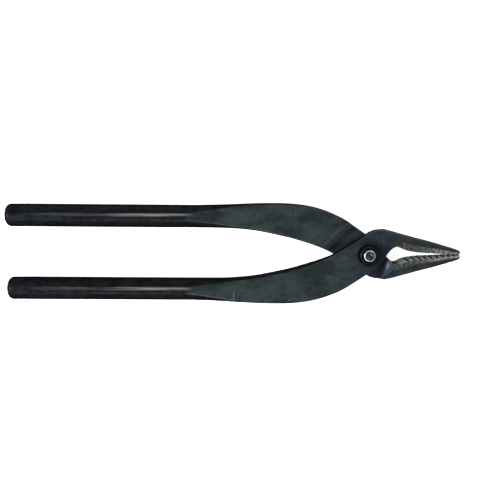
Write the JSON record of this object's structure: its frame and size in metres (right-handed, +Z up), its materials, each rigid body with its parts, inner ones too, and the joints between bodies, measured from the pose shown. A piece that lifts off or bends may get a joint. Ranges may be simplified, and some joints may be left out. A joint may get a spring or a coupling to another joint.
{
  "type": "riveted blacksmith tongs",
  "caption": "Short riveted metalworking tongs: round handles flattened into curved reins, a lap joint with a raised rivet collar, and tapering toothed needle jaws.",
  "frame": {"origin": "on the rivet's axis, in the plane of the rivet head's underside that the tool rests on", "axes": "+X from the handles to the jaw tips, +Y towards the front half's jaw, +Z up along the rivet towards its bright end"},
  "size_m": [0.21, 0.0468, 0.0148],
  "materials": {
    "forged_steel": "black oxide over forged steel, satin, ground lighter on the jaws",
    "rivet_steel": "bright peened end, blackened head",
    "collar_steel": "near-black oxide, satin"
  },
  "bodies": {
    "back": {"back_half": "forged_steel", "rivet": "rivet_steel", "rivet_collar": "collar_steel"},
    "front": {"front_half": "forged_steel"}
  },
  "joints": [
    {"name": "pivot", "type": "hinge", "parent": "back", "child": "front", "pos_m": [0, 0, 0.006], "axis": [0, 0, 1], "range_deg": [0, 45]}
  ]
}
